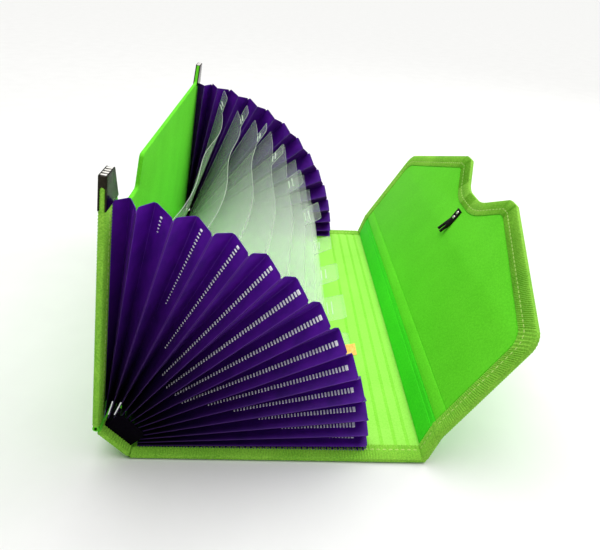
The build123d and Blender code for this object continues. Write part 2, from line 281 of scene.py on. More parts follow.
# The heels' near-black is painted shade, for the dark corner at the spine.
heel_shade_purple = grained_finish("purple_polypropylene_painted_shade", "#050209", "#09050f", 2.0, 0.05,
                             Roughness=0.85, Specular_IOR_Level=0.03)
milky_sheet = milky_finish("milky_polypropylene", 0.11)
milky_edge = milky_finish("milky_polypropylene_edge", 0.55)
weld_white = grained_finish("white_weld_plastic", "#fafaff", "#ffffff", 1.5, 0.1, Roughness=0.45)
dark_bronze = grained_finish("dark_bronze_plating", "#221f19", "#322e26", 0.9, 0.05,
                             Metallic=1.0, Roughness=0.26)
# Bright nickel: the rivets' own finish, and on the clips' ribs a painted highlight.
nickel_and_highlight = grained_finish("nickel_plating_and_painted_highlight", "#d9d6cf", "#f4f2ec", 1.0, 0.05,
                              Metallic=1.0, Roughness=0.3)
orange_card = grained_finish("orange_card", "#f9b040", "#ffd878", 1.2, 0.2, Roughness=0.7)
print("finishes in all:", len(bpy.data.materials))

# %% [markdown]
# ## Making a piece
# A piece starts as a bmesh in millimetres on its panel, is stood up by the panel's matrix, and rides on the
# body that carries it. Its object stays at the origin, so patterns on object coordinates stay put.

# %% Piece helpers
def finished_object(bm, name, finishes, sharp=35.0):
    """Turns a finished bmesh into an object with its finishes."""
    bmesh.ops.recalc_face_normals(bm, faces=bm.faces)
    mesh = bpy.data.meshes.new(name)
    bm.to_mesh(mesh)
    bm.free()
    mesh.shade_smooth()
    mesh.set_sharp_from_angle(angle=radians(sharp))
    for finish in finishes:
        mesh.materials.append(finish)
    made = bpy.data.objects.new(name, mesh)
    scene.collection.objects.link(made)
    return made


def make_piece(bm, name, body, finishes, stands_for=(), matrix=None, sharp=35.0):
    """Stands a flat piece up, if it has a matrix, and makes it ride on a body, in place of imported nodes."""
    if matrix is not None:
        bmesh.ops.transform(bm, matrix=matrix, verts=bm.verts)
    piece = finished_object(bm, name, finishes, sharp)
    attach(piece, body)
    if stands_for:
        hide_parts(*stands_for)
    return piece


# %% Mesh helpers
touching = MM * 0.001
near_enough = 0.01
flat_angle, hard_angle = radians(1), radians(30)
unit_square = Matrix.Translation((0.5, 0.5, 0))


def only(geom, kind):
    """The vertices, edges or faces among what an operator made."""
    return [part for part in geom if isinstance(part, kind)]


def edges_at(verts):
    """All edges that meet these vertices."""
    return {e for v in verts for e in v.link_edges}


def faces_at(verts):
    """All faces that meet these vertices."""
    return {f for v in verts for f in v.link_faces}


def box_matrix(middle, size):
    """Stretches a unit shape to a size, about a middle."""
    return Matrix.Translation(middle) @ Matrix.Diagonal((*size, 1))


def add_grid(bm, along, across, matrix=unit_square):
    """A flat grid, on the unit square unless a matrix puts it elsewhere."""
    return bmesh.ops.create_grid(bm, x_segments=along, y_segments=across, size=0.5, matrix=matrix)["verts"]


def cut_through(bm, place, normal):
    """Cuts the whole mesh along a plane."""
    bmesh.ops.bisect_plane(bm, geom=bm.verts[:] + bm.edges[:] + bm.faces[:], plane_co=place, plane_no=normal)


def round_edges(bm, edges, offset, segments=3, clamp=False):
    """Rounds edges over."""
    bmesh.ops.bevel(bm, geom=list(edges), offset=offset, affect="EDGES", segments=segments, profile=0.5,
                    material=-1, clamp_overlap=clamp)


def softened(node, name, body, finish, edge_mm):
    """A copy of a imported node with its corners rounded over."""
    bm = bmesh.new()
    bm.from_mesh(nodes[node].data)
    bmesh.ops.remove_doubles(bm, verts=bm.verts, dist=touching)
    bmesh.ops.dissolve_limit(bm, angle_limit=flat_angle, verts=bm.verts, edges=bm.edges, delimit=set())
    hard = [e for e in bm.edges if e.is_manifold and e.calc_face_angle(0) > hard_angle]
    round_edges(bm, hard, edge_mm * MM, clamp=True)
    bmesh.ops.triangulate(bm, faces=[f for f in bm.faces if len(f.verts) > 4])
    return make_piece(bm, name, body, [finish], [node])


def add_block(bm, low, high, edge):
    """A box between two corners, with its edges rounded."""
    middle, size = (Vector(low) + Vector(high)) / 2, Vector(high) - Vector(low)
    made = bmesh.ops.create_cube(bm, size=1, matrix=box_matrix(middle, size))["verts"]
    round_edges(bm, edges_at(made), edge)


def side_block(bm, side, reach, inset, height, edge):
    """A rounded block at one end of the width; reach, inset and height each go from low to high."""
    ends = sorted(side * (half_width - place) for place in inset)
    add_block(bm, (reach[0], ends[0], height[0]), (reach[1], ends[1], height[1]), edge)


def add_plate(bm, outline, low, high, edge):
    """A flat plate between two heights, from its outline, with its edges rounded."""
    face = bm.faces.new([bm.verts.new((u, y, low)) for u, y in outline])
    grown = bmesh.ops.extrude_face_region(bm, geom=[face], use_keep_orig=True)["geom"]
    top = only(grown, BMVert)
    bmesh.ops.translate(bm, vec=(0, 0, high - low), verts=top)
    round_edges(bm, edges_at((*top, *face.verts)), edge)


# %% [markdown]
# ## Cover boards
# The boards are flat, with the cloth turned over their edges, so a small rounded edge is all they need: a
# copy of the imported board, merged and bevelled. The linings inside come later, as sheets of their own.

# %% Boards
cloth_edge = 0.4
# The base's board is in cloth painted brighter as light, and the strip's board in cloth painted darker as shade.
for node, body, finish in (
    ("back_cover_board", "back_cover", base_lit_cloth),
    ("spine_board", "spine", lime_cloth),
    ("front_cover_board", "front_cover", lime_cloth),
    ("flap_strip_board", "flap_strip", strip_shaded_cloth),
    ("flap_board", "flap", lime_cloth),
):
    board = softened(node, node.replace("_board", "_cloth"), body, finish, cloth_edge)
    print(board.name, len(board.data.polygons), "faces")

# %% [markdown]
# ## Ribbed edge tape
# A tape is a folded strip: up over the upper face, round the edge and back under. A grid is wrapped into
# its section and carried along the edge row by row, with every second row a little proud, which makes the
# ribs of a grosgrain weave. Along the flap the rows run between two outlines, the edge and the tape's inner
# hem, whose corners are rounded apart. A groove near the hem takes the stitches.

# %% Tape section and sweep
tape_width, tape_height = 9.0, 1.6
rib_pitch, rib_rise = 1.3, 0.12
seam_inset = 5.9
upper_section = [
    (tape_width, 1.0), (tape_width, 1.38), (8.6, 1.52), (7.3, tape_height), (6.4, 1.54), (seam_inset, 1.40),
    (5.4, 1.54), (3.4, tape_height), (1.0, 1.46), (0.25, 1.05), (0.0, 0.45),
]
tape_section = upper_section + [(inset, -height) for inset, height in reversed(upper_section)]
tape_section += [(0.7, -1.0), (0.7, 1.0)]
corner_count = len(tape_section)


def sweep_tape(bm, rows):
    """Wraps a grid into the tape's section, through rows of (matrix, edge point, hem point, underside)."""
    steps = len(rows) - 1
    grid = add_grid(bm, steps, corner_count)
    for v in grid:
        row = round(v.co.x * steps)
        matrix, edge, hem, underside = rows[row]
        inset, height = tape_section[round(v.co.y * corner_count) % corner_count]
        flat = edge + (hem - edge) * inset / tape_width
        if abs(height) > half_t:
            height *= 1 + (rib_rise if row % 2 else -rib_rise)
        v.co = matrix @ Vector((flat.real, flat.imag, height if height > 0 else height * underside))
    bmesh.ops.remove_doubles(bm, verts=grid, dist=touching)
    bmesh.ops.holes_fill(bm, edges=[e for e in bm.edges if e.is_boundary], sides=0)


def tape_row(matrix, reach, side, underside):
    """One row of a tape across a straight side edge."""
    edge, hem = (complex(reach, side * y) for y in (half_width, half_width - tape_width))
    return matrix, edge, hem, underside


def straight_rows(matrix, start, end, side, underside):
    """Rows of a tape along one straight side edge."""
    count = 2 * round((end - start) / rib_pitch)
    return [tape_row(matrix, start + (end - start) * i / count, side, underside) for i in range(count + 1)]


print("corners of the tape's section:", corner_count)

# %% Straight tapes
tape_start = 1.8
spine_tape_end = spine_length - 2.0
corner_foot = 104.0
front_tape_end = corner_foot - 0.3
base_under = half_t / tape_height
straight_tapes = (
    ("back_cover_tape", "back_cover", base_panel, tape_start, base_length - tape_start, base_under),
    ("spine_tape", "spine", spine_panel, tape_start, spine_tape_end, 1.0),
    ("front_cover_tape", "front_cover", front_panel, tape_start, front_tape_end, 1.0),
    ("flap_strip_tape", "flap_strip", strip_panel, tape_start, strip_length - tape_start, 1.0),
)
for node, body, matrix, start, end, underside in straight_tapes:
    bm = bmesh.new()
    for side in (-1, 1):
        sweep_tape(bm, straight_rows(matrix, start, end, side, underside))
    tape = make_piece(bm, node.replace("_tape", "_binding"), body, [tape_yarn], [node])
    print(tape.name, len(tape.data.polygons), "faces")

# %% Flap outline
flap_corners = [complex(u, y) for u, y in (
    (tape_start, -board_half), (62, -board_half), (92.5, -44), (92.5, -36), (79, -12),
    (79, 12), (92.5, 36), (92.5, 44), (62, board_half), (tape_start, board_half))]
edge_rounds = (9.0, 5.0, 5.0, 25.0, 25.0, 5.0, 5.0, 9.0)
hem_rounds = (9.0, 5.0, 5.0, 33.0, 33.0, 5.0, 5.0, 9.0)
arc_steps = 12


def moved_out(corners, amount):
    """The same outline with every side moved outwards."""
    ways = [(b - a) / abs(b - a) for a, b in zip(corners, corners[1:])]
    starts = [a - 1j * way * amount for a, way in zip(corners, ways)]
    found = [starts[0]]
    for (p, v), (q, w) in zip(zip(starts, ways), zip(starts[1:], ways[1:])):
        run = ((q - p) * w.conjugate()).imag / (v * w.conjugate()).imag
        found.append(p + v * run)
    return found + [corners[-1] - 1j * ways[-1] * amount]


def rounded(corners, rounds, steps):
    """Points along an outline with arcs at its corners; steps says how many on each straight run."""
    points = [corners[0]]
    for i, radius in enumerate(rounds, 1):
        before = (corners[i] - corners[i - 1]) / abs(corners[i] - corners[i - 1])
        after = (corners[i + 1] - corners[i]) / abs(corners[i + 1] - corners[i])
        turn = phase(after / before)
        cut = radius * tan(abs(turn) / 2)
        start = corners[i] - before * cut
        centre = start + 1j * before * radius * (1 if turn > 0 else -1)
        points += [points[-1] + (start - points[-1]) * k / steps[i - 1] for k in range(1, steps[i - 1] + 1)]
        points += [centre + (start - centre) * rect(1, turn * k / arc_steps) for k in range(1, arc_steps + 1)]
    last = points[-1]
    return points + [last + (corners[-1] - last) * k / steps[-1] for k in range(1, steps[-1] + 1)]


# %% Flap tape
tape_wrap = 0.5
edge_corners = moved_out(flap_corners, tape_wrap)
hem_corners = moved_out(flap_corners, tape_wrap - tape_width)
run_steps = [max(2, 2 * round(abs(b - a) / rib_pitch)) for a, b in zip(edge_corners, edge_corners[1:])]
flap_edge = rounded(edge_corners, edge_rounds, run_steps)
flap_hem = rounded(hem_corners, hem_rounds, run_steps)
bm = bmesh.new()
sweep_tape(bm, [(flap_panel, edge, hem, 1.0) for edge, hem in zip(flap_edge, flap_hem)])
flap_binding = make_piece(bm, "flap_binding", "flap", [tape_yarn], ["flap_tape"])
print(flap_binding.name, len(flap_binding.data.polygons), "faces")

# %% [markdown]
# ## Tape over the creases
# On the real file the tape runs on over each crease. A short length with three rows joins the tapes of two
# panels.

# %% Crease tapes
crease_sharp = 50


def crease_tape(name, first, middle, last):
    """A bridge of tape between two panels; each end is (body, matrix, reach, underside); the body is not used."""
    bm = bmesh.new()
    for side in (-1, 1):
        sweep_tape(bm, [tape_row(*first[1:3], side, first[3]), tape_row(middle, 0, side, first[3]),
                        tape_row(*last[1:3], side, last[3])])
    piece = finished_object(bm, name, [tape_yarn], crease_sharp)
    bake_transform(piece)
    return piece


crease_pieces = (
    crease_tape("strip_crease_binding", ("back_cover", base_panel, base_length - tape_start, base_under),
                panel(strip_crease, strip_angle / 2), ("flap_strip", strip_panel, tape_start, 1.0)),
    crease_tape("flap_crease_binding", ("flap_strip", strip_panel, strip_length - tape_start, 1.0),
                panel(flap_crease, (strip_angle + flap_angle) / 2), ("flap", flap_panel, tape_start, 1.0)),
    crease_tape("spine_crease_binding", ("back_cover", base_panel, tape_start, base_under),
                panel(spine_crease, (spine_angle - 180) / 2), ("spine", spine_panel, tape_start, 1.0)),
)
print("crease tapes:", [piece.name for piece in crease_pieces])

# %% [markdown]
# ## Stitches
# The tape is sewn through with one line of pale thread near its hem. Each stitch is a small flattened bead
# that lies in the groove of the tape, on both faces of the panel. Beads are cheaper than a twisted thread,
# and at this size they look the same.

# %% Stitch rows
stitch_pitch = 2.9
stitch_shape = Matrix.Diagonal((2.3, 0.7, 0.5, 1))
stitch_height = 1.5
bead_faces = 20


def stitch_row(bm, matrix, points, heights):
    """Beads along a line of flat points, at each of the heights."""
    run = 0.0
    due = stitch_pitch / 2
    for a, b in zip(points, points[1:]):
        length = abs(b - a)
        while length > 0 and due <= run + length:
            spot = a + (b - a) * (due - run) / length
            turn = Matrix.Rotation(phase(b - a), 4, "Z")
            for height in heights:
                place = Matrix.Translation((spot.real, spot.imag, height))
                bmesh.ops.create_icosphere(bm, subdivisions=1, radius=0.5,
                                           matrix=matrix @ place @ turn @ stitch_shape)
            due += stitch_pitch
        run += length


for node, body, matrix, start, end, underside in straight_tapes:
    bm = bmesh.new()
    heights = (stitch_height,) if node == "back_cover_tape" else (stitch_height, -stitch_height)
    for side in (-1, 1):
        line = side * (half_width - seam_inset)
        stitch_row(bm, matrix, [complex(start, line), complex(end, line)], heights)
    make_piece(bm, node.replace("_tape", "_stitches"), body, [thread])
bm = bmesh.new()
flap_seam = [edge + (hem - edge) * seam_inset / tape_width for edge, hem in zip(flap_edge, flap_hem)]
stitch_row(bm, flap_panel, flap_seam, (stitch_height, -stitch_height))
flap_stitches = make_piece(bm, "flap_stitches", "flap", [thread])
print("flap stitches:", len(flap_stitches.data.polygons) // bead_faces)

# %% [markdown]
# ## Back cover lining
# Inside, the base is lined with a sheet of the same cloth, painted brighter as light. Near the flap it has
# score lines, pressed in so that the stack can slide under the flap. A grid is cut along each line and the
# cut is pushed down. The cloth on one side of each line is painted a little darker as shade, so the lines
# still show in flat light.

# %% Lining with score lines
lining_t, skin_share = 0.3, 0.9
lining_margin, lining_tuck = 2.0, 0.5
lining_size = (base_length - 2 * lining_margin, 2 * (half_width - tape_width + lining_tuck), 1)
lining_sharp = 60
score_lines = (108.0, 115.0, 121.5, 127.5)
score_depth, score_half = 0.28, 1.6
bm = bmesh.new()
add_grid(bm, 2, 8, box_matrix((base_length / 2, 0, 0), lining_size))
for line in score_lines:
    for shift in (-score_half, 0.0, score_half):
        cut_through(bm, (line + shift, 0, 0), (1, 0, 0))
for v in bm.verts:
    pressed = any(abs(v.co.x - line) < near_enough for line in score_lines)
    v.co.z = half_t + lining_t - (score_depth if pressed else 0)
bmesh.ops.solidify(bm, geom=bm.faces[:], thickness=lining_t * skin_share)
# Faces on one side of each groove take the painted shade.
for face in bm.faces:
    middle = face.calc_center_median().x
    face.material_index = int(any(line < middle < line + score_half for line in score_lines))
base_lining = make_piece(bm, "back_cover_lining", "back_cover", [base_lit_cloth, groove_shaded_cloth],
                         matrix=base_panel, sharp=lining_sharp)
print(base_lining.name, "score lines:", len(score_lines))

# %% [markdown]
# ## Flap and strip linings
# The flap's inside is a padded sheet that stops just short of the tape, so a dark line runs round it. Near
# the crease the cloth is pressed into a separate band, and the strip between the creases has its own. Each
# is a plate or block with rounded edges, a fraction of a millimetre proud of the board.

# %% Flap linings
lining_gap = 0.5
band_start, band_end = 2.6, 8.6
strip_margin = 2.2
sheet_rise = 0.35
sheet_edge, band_edge = 0.3, 0.28
panel_corners = moved_out(flap_corners, tape_wrap - tape_width - lining_gap)
panel_start = band_end + lining_gap
panel_corners[0] = complex(panel_start, panel_corners[0].imag)
panel_corners[-1] = complex(panel_start, panel_corners[-1].imag)
outline = [(spot.real, spot.imag) for spot in rounded(panel_corners, hem_rounds, [1] * len(run_steps))]
bm = bmesh.new()
add_plate(bm, outline, half_t - sheet_rise, half_t + sheet_rise, sheet_edge)
flap_lining = make_piece(bm, "flap_lining", "flap", [lime_cloth], matrix=flap_panel)
print(flap_lining.name, "corners:", len(outline))

lining_half = half_width - tape_width - lining_gap
# The strip's lining takes the strip's cloth in painted shade.
bands = (
    ("flap_score_strip", "flap", flap_panel, band_start, band_end, lime_cloth),
    ("flap_strip_lining", "flap_strip", strip_panel, strip_margin, strip_length - strip_margin, strip_shaded_cloth),
)
for name, body, matrix, start, end, finish in bands:
    bm = bmesh.new()
    add_block(bm, (start, -lining_half, half_t - sheet_rise), (end, lining_half, half_t + sheet_rise),
              band_edge)
    band = make_piece(bm, name, body, [finish], matrix=matrix)
    print(band.name, round(end - start, 1), "mm")

# %% [markdown]
# ## Spine head
# Where the spine meets the front cover the cloth rolls over in a soft bead: a circle drawn out along the
# width. A bead is round, so it looks right at every angle between the two panels.

# %% Cloth bead along the spine's head
bead_radius, bead_edge, bead_sides = 1.55, 0.5, 20
bm = bmesh.new()
place = Matrix.Translation((0, -board_half, 0)) @ Matrix.Rotation(radians(90), 4, "X")
near = bmesh.ops.create_circle(bm, cap_ends=True, radius=bead_radius, segments=bead_sides,
                               matrix=place)["verts"]
grown = bmesh.ops.extrude_face_region(bm, geom=list(faces_at(near)), use_keep_orig=True)["geom"]
far = only(grown, BMVert)
bmesh.ops.translate(bm, vec=(0, 2 * board_half, 0), verts=far)
rims = [e for e in edges_at((*near, *far)) if abs(e.verts[0].co.y - e.verts[1].co.y) < near_enough]
round_edges(bm, rims, bead_edge)
spine_bead = make_piece(bm, "spine_head_bead", "front_cover", [lime_cloth], matrix=front_panel)
print(spine_bead.name, len(spine_bead.data.polygons), "faces")

# %% [markdown]
# ## Pleats
# The pleats are one long purple sheet at each end, folded to and fro: out to a fold near the edge of the
# covers, in to a fold beside the pockets. Each V here belongs to one level, so that it can ride on that
# level. A grid is bent to the V, with its columns crowded at the folds. Its rim has a small nick at each
# fold, where the sheet was notched so that it folds cleanly.

# %% Points of a V
fold_outer, fold_inner = 5.0, 15.0
outer_share, inner_share = 0.75, 0.25
top_share, front_share = 0.5, 0.27
landing_gap, front_landing = 0.2, 9.6
fold_soft = 0.04


def fold_inset(across, end_inset):
    """How far in from the edge a V stands: fold_inner at its soft middle fold, end_inset at its end."""
    arm = (hypot(2 * across - 1, fold_soft) - fold_soft) / (hypot(1, fold_soft) - fold_soft)
    return fold_inner + (end_inset - fold_inner) * arm


def upper_share(level):
    """The share of the gap above a level where its V ends."""
    return top_share if level == divider_count else outer_share


def pleat_spot(level, reach, across):
    """A point of a V: across runs from its lower outer fold, 0, over the inner fold to the upper one, 1."""
    above = pocket_gap(level, reach)
    fold = inner_share * above
    if across >= 0.5:
        end = upper_share(level) * above
    elif level:
        end = (outer_share - 1) * pocket_gap(level - 1, reach)
    else:
        end = lining_t + landing_gap
    inset = fold_inset(across, fold_outer)
    return Vector((reach, inset - half_width, fold + (end - fold) * abs(2 * across - 1)))


def last_fold_spot(reach, across):
    """A point of the last V, from the top outer fold to its landing on the front cover's inner face."""
    gap = pocket_gap(divider_count, reach)
    fold = -front_share * gap
    end = -landing_gap if across >= 0.5 else (top_share - 1) * gap
    inset = fold_inset(across, front_landing if across >= 0.5 else fold_outer)
    return Vector((reach, inset - half_width, fold + (end - fold) * abs(2 * across - 1)))


# %% Bent sheets
pleat_foot, pleat_top = 2.0, 105.5
pleat_t = 0.26
crowding = 0.7
pleat_rows, pleat_columns = 24, 28
outer_nick, outer_nick_width = 1.6, 0.06
inner_nick, inner_nick_width = 0.4, 0.04


def rim_nick(across):
    """The rim's nicks: a wider one at the outer folds and a small one at the inner fold."""
    arm = abs(2 * across - 1)
    return (outer_nick * exp(-((1 - arm) / outer_nick_width) ** 2)
            + inner_nick * exp(-(arm / inner_nick_width) ** 2))


def bent_sheet(spot, foot, top):
    """A grid bent to a V: rows run along the fan, columns across the folds, with a map of both."""
    bm = bmesh.new()
    add_grid(bm, pleat_rows, pleat_columns)
    for v in bm.verts:
        v.co.y -= crowding * sin(4 * pi * v.co.y) / (4 * pi)
    sheet = bm.loops.layers.uv.new("sheet")
    for face in bm.faces:
        for loop in face.loops:
            arm = min(abs(2 * loop.vert.co.y - 1), 1.0)
            loop[sheet].uv = (loop.vert.co.x, min(arm, 1 - arm))
    for v in bm.verts:
        across = min(max(v.co.y, 0.0), 1.0)
        v.co = spot(foot + (top - rim_nick(across) - foot) * v.co.x, across)
    bmesh.ops.solidify(bm, geom=bm.faces[:], thickness=pleat_t)
    return bm


def both_ends(bm):
    """Adds the mirrored far end."""
    near = bm.verts[:] + bm.edges[:] + bm.faces[:]
    copy = bmesh.ops.duplicate(bm, geom=near)["geom"]
    bmesh.ops.scale(bm, vec=(1, -1, 1), verts=only(copy, BMVert))
    bmesh.ops.reverse_faces(bm, faces=only(copy, BMFace))


print("gap at the rim:", round(pocket_gap(0, pleat_top), 1), "mm")

# %% [markdown]
# ## Weld rows
# Each divider is welded to its pleat with a row of short bars, like a ladder, and the last bar at the rim is
# a larger block. The bars shorten towards the spine, and so do the rows of the lowest and the steepest
# levels. They lie in the lower arm of the V, half way between its folds, and are a second finish on the same
# piece, so they fold with it.

# %% Weld bars
weld_pitch = 1.5
weld_first, weld_last = 99.4, 24.0
weld_across, arm_step = 0.25, 0.05
bar_width, bar_length, bar_height, bar_edge = 0.8, 2.4, 0.5, 0.14
bar_thinning, bar_shortening = 0.35, 0.55
block_reach, block_width = 101.0, 1.3
low_level, low_cut = 6, 10.5
steep_level, steep_cut, steep_shrink = 8, 4.3, 0.12


def add_bar(bm, level, reach, across, width, length):
    """One bar across the sheet of a V, standing proud on its outer face."""
    spot = pleat_spot(level, reach, across)
    along = (pleat_spot(level, reach + 1, across) - spot).normalized()
    arm = pleat_spot(level, reach, across + arm_step) - spot
    off = along.cross(arm).normalized()
    if off.y > 0:
        off = -off
    stand = Matrix((along, off.cross(along), off)).transposed().to_4x4()
    rise = Matrix.Translation(off * (bar_height + pleat_t) / 2)
    place = rise @ Matrix.Translation(spot) @ stand @ Matrix.Diagonal((width, length, bar_height, 1))
    made = bmesh.ops.create_cube(bm, size=1, matrix=place)["verts"]
    for face in faces_at(made):
        face.material_index = 1
    return edges_at(made)


def weld_row(bm, level):
    """A row of bars along the lower arm of a V, with a block at the rim."""
    steep = max(0, level - steep_level)
    shrink = 1 - steep_shrink * steep
    edges = add_bar(bm, level, block_reach, weld_across, block_width * shrink, bar_length * shrink)
    shortened = low_cut * max(0, low_level - level) + steep_cut * steep ** 2
    count = int((weld_first - weld_last - shortened) / weld_pitch)
    for i in range(count):
        far = i / count
        edges |= add_bar(bm, level, weld_first - i * weld_pitch, weld_across,
                         shrink * bar_width * (1 - bar_thinning * far),
                         shrink * bar_length * (1 - bar_shortening * far))
    round_edges(bm, edges, bar_edge, segments=1)
    return count + 1


print("bars in a full row:", int((weld_first - weld_last) / weld_pitch) + 1)

# %% [markdown]
# ## Lips behind the folds
# The real sheet is in one piece, so its outer folds can't part. Here two V's only meet there, and they would
# let light through when the fan opens wider. Each V therefore has a narrow lip, turned in behind the next.
# At the near end two slivers of the uppermost dividers peep out beside the spine, as thin bars.

# %% Turned lips
lip_inset, lip_width, lip_back, lip_rise, lip_t = 0.4, 2.0, 0.02, 0.1, 0.2
lip_steps = 12


def add_lip(bm, level, top):
    """A narrow strip behind the next V, along the upper outer fold."""
    sheet = bm.loops.layers.uv["sheet"]
    start = upper_share(level) - lip_back
    made = add_grid(bm, lip_steps, 1)
    faces = list(faces_at(made))
    for face in faces:
        for loop in face.loops:
            loop[sheet].uv = (loop.vert.co.x, 0.5)
    for v in made:
        reach = pleat_foot + (top - lip_width - pleat_foot) * v.co.x
        inset = fold_outer + lip_inset + lip_width * v.co.y
        v.co = (reach, inset - half_width, pocket_gap(level, reach) * (start + lip_rise * v.co.y))
    bmesh.ops.solidify(bm, geom=faces, thickness=lip_t)


def folds_flat(piece):
    """Gives the piece its own copy of its mesh."""
    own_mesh(piece)


# %% Pleats on their levels
reach_swing, swing_levels = 2.5, 9
sliver_levels = (11, 12)
sliver_reach, sliver_length, sliver_width, sliver_across = 8.0, 8.0, 0.25, 0.01
bars = 0
for level in range(pocket_count):
    top = pleat_top + reach_swing * cos(pi * level / swing_levels)
    bm = bent_sheet(lambda reach, across: pleat_spot(level, reach, across), pleat_foot, top)
    if level:
        bars += weld_row(bm, level)
    add_lip(bm, level, top)
    both_ends(bm)
    if level in sliver_levels:
        add_bar(bm, level, sliver_reach, sliver_across, sliver_length, sliver_width)
    matrix = level_panel(level)
    body = f"divider_{level:02d}" if level else "back_cover"
    pleat = make_piece(bm, f"pleat_fold_{level:02d}", body, [purple_sheet, weld_white],
                       [f"pleat_{level:02d}"], matrix)
    folds_flat(pleat)
print("pleats:", pocket_count, "weld bars:", 2 * bars)

# %% Last fold, on the front cover
last_foot, last_top, last_keep = 8.0, 104.9, 0.05
bm = bent_sheet(last_fold_spot, last_foot, last_top)
both_ends(bm)
last_panel = level_panel(pocket_count)
last_pleat = make_piece(bm, "pleat_fold_13", "front_cover", [purple_sheet], ["pleat_13"],
                        last_panel)
folds_flat(last_pleat)
print(last_pleat.name)

# %% [markdown]
# ## Pleat heels
# At the spine the folded sheet ends in a flat heel that is glued down beside the edge tape, and its folds
# close the corner beside it. A thin plate on the spine's inner face and an upright one at each end stand for
# them, so that no lime and no daylight shows between the feet of the pleats. They are painted nearly black,
# as the shade in that corner.

# %% Heel patches on the spine
heel_start, heel_end = 2.6, 18.6
heel_low, heel_high, heel_edge = -1.95, -1.3, 0.2
heel_overlap = 4.0
bm = bmesh.new()
for side in (-1, 1):
    side_block(bm, side, (heel_start, heel_end), (fold_outer, fold_inner + heel_overlap),
               (heel_low, heel_high), heel_edge)
heels = make_piece(bm, "pleat_heels", "spine", [heel_shade_purple], matrix=spine_panel)
print(heels.name)

# %% Folded ends of the heels
end_rise, end_round, end_edge = -11.5, 2.0, 0.15
end_outline = [
    (heel_start, heel_high), (heel_end, heel_high), (heel_end, end_rise + end_round),
    (heel_end - end_round, end_rise), (heel_start + end_round, end_rise), (heel_start, end_rise + end_round),
]
end_gap, end_t = 0.3, 0.4
end_low = half_width - fold_outer + end_gap
end_high = end_low + end_t
bm = bmesh.new()
add_plate(bm, end_outline, end_low, end_high, end_edge)
add_plate(bm, end_outline, -end_high, -end_low, end_edge)
upright = spine_panel @ Matrix.Rotation(radians(90), 4, "X")
# The end plates, too, are in the near-black of painted shade.
heel_ends = make_piece(bm, "pleat_heel_ends", "spine", [heel_shade_purple], matrix=upright)
print(heel_ends.name)

# %% [markdown]
# ## Dividers
# The dividers are thin milky sheets, welded only at their ends, so in between they sag and ripple. Each has
# an index tab one step further along, with two short slits for a label. A grid gets the tab extruded from
# its top edge, then is bent, with its ends held straight.

# %% Divider sizes
divider_width = 228.8
divider_foot, divider_height = 3.2, 90.5
divider_top = divider_foot + divider_height
divider_rows, divider_columns = 16, 56
tab_step = divider_width / divider_count
tab_width, tab_height, tab_round, tab_rows = 23.0, 11.0, 2.6, 3
sheet_t = 0.3
sheet_sag, sag_power = 0.55, 3
ripple, short_share, ripple_shift = 2.2, 0.2, 0.7
ripple_lengths = (190.0, 85.0)
slit_reaches, slit_size = (divider_top + 1.0, divider_top + 3.6), (0.6, 12.0, 0.6)


def sheet_lift(level, reach, y):
    """How far the sheet stands off its level's plane: a sag between its held ends, and a slight ripple."""
    free = max(0.0, 1 - abs(2 * y / divider_width) ** sag_power)
    up = max(0.0, (reach - divider_foot) / divider_height)
    long_wave, short_wave = (sin(2 * pi * y / length + ripple_shift * level) for length in ripple_lengths)
    return free * up * (ripple * up * (long_wave + short_share * short_wave) - sheet_sag * level)


def tab_place(level):
    """Middle of a level's tab along the width, kept inside the sheet."""
    place = (level - pocket_count / 2) * tab_step
    limit = (divider_width - tab_width) / 2
    return min(max(place, -limit), limit)


print("tabs from", tab_place(1), "to", tab_place(divider_count), "mm")


# %% Divider shape
def grow_tab(bm, level):
    """Extrudes the tab from the top edge of a flat sheet and rounds its corners."""
    ends = [tab_place(level) + side * tab_width / 2 for side in (-1, 1)]
    for end in ends:
        cut_through(bm, (0, end, 0), (0, 1, 0))
    rim = [e for e in bm.edges if all(abs(v.co.x - divider_top) < near_enough for v in e.verts)
           and ends[0] < (e.verts[0].co.y + e.verts[1].co.y) / 2 < ends[1]]
    for _ in range(tab_rows):
        grown = bmesh.ops.extrude_edge_only(bm, edges=rim)["geom"]
        fresh = only(grown, BMVert)
        bmesh.ops.translate(bm, vec=(tab_height / tab_rows, 0, 0), verts=fresh)
        rim = [e for e in only(grown, BMEdge) if all(v in fresh for v in e.verts)]
    corners = [v for v in fresh if min(abs(v.co.y - end) for end in ends) < near_enough]
    bmesh.ops.bevel(bm, geom=corners, offset=tab_round, affect="VERTICES", segments=5, profile=0.5,
                    material=-1)


def divider_bmesh(level):
    """The sheet with its tab, its sag and its slits; cut edges and slits get the second finish."""
    bm = bmesh.new()
    add_grid(bm, divider_rows, divider_columns,
             box_matrix((divider_foot + divider_height / 2, 0, 0), (divider_height, divider_width, 1)))
    grow_tab(bm, level)
    for v in bm.verts:
        v.co.z = sheet_lift(level, v.co.x, v.co.y)
    sheet_faces = set(bm.faces)
    made = bmesh.ops.solidify(bm, geom=bm.faces[:], thickness=sheet_t)["geom"]
    skins = sheet_faces | set(only(made, BMFace))
    for face in bm.faces:
        at_foot = face.calc_center_median().x < divider_foot + near_enough
        face.material_index = 0 if face in skins or at_foot else 1
    for reach in slit_reaches:
        place = box_matrix((reach, tab_place(level), 0), slit_size)
        slit = bmesh.ops.create_cube(bm, size=1, matrix=place)["verts"]
        for v in slit:
            v.co.z += sheet_lift(level, reach, v.co.y)
        for face in faces_at(slit):
            face.material_index = 1
    return bm


